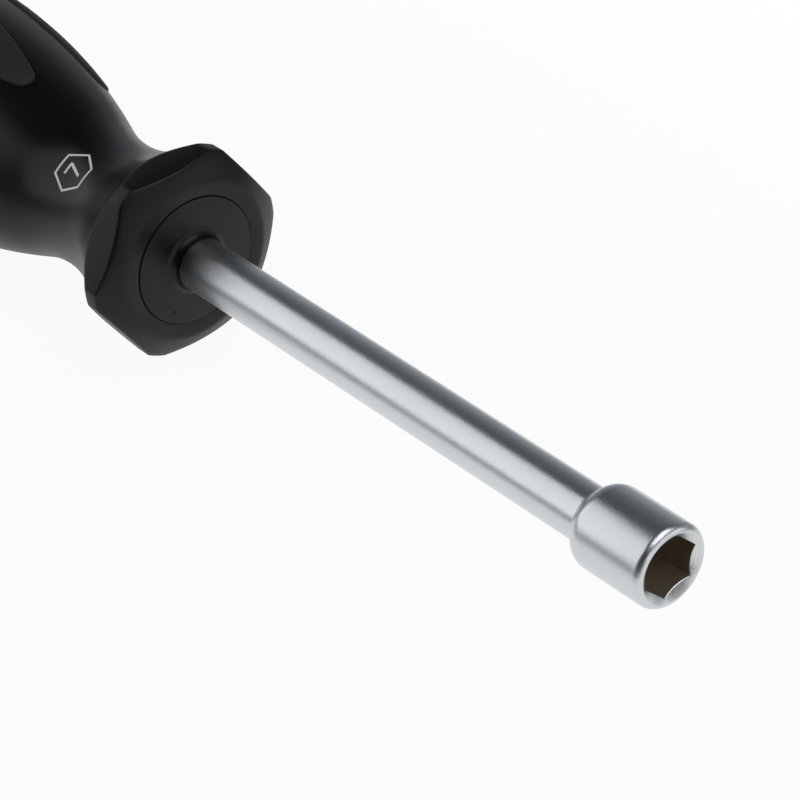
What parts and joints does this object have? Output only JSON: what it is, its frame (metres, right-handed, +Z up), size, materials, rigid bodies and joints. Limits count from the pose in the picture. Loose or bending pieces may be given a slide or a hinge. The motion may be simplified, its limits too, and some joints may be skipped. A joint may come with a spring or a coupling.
{
  "type": "nut driver",
  "caption": "Nut driver with a satin chrome hexagon socket on a round shank, set in a black moulded handle with a hexagonal roll-stop collar, hollow neck and soft grip pads.",
  "frame": {"origin": "centre of the socket mouth, on the tool's axis", "axes": "+X along the tool's axis out of the socket mouth, +Z up with the tool lying on a flat of the collar, +Y across"},
  "size_m": [0.195, 0.034, 0.0346],
  "materials": {
    "satin_chrome": "satin chrome plate over chrome-vanadium steel",
    "core_plastic": "fine eroded moulding, satin black",
    "grip_plastic": "satin black moulding, smoother on the neck",
    "soft_pad": "matt soft moulding with fine grain"
  },
  "bodies": {
    "root": {"blade": "satin_chrome", "handle_core": "core_plastic", "grip_body": "grip_plastic", "soft_pad_1": "soft_pad", "soft_pad_2": "soft_pad", "soft_pad_3": "soft_pad", "soft_pad_4": "soft_pad", "soft_pad_5": "soft_pad", "soft_pad_6": "soft_pad"}
  },
  "joints": []
}
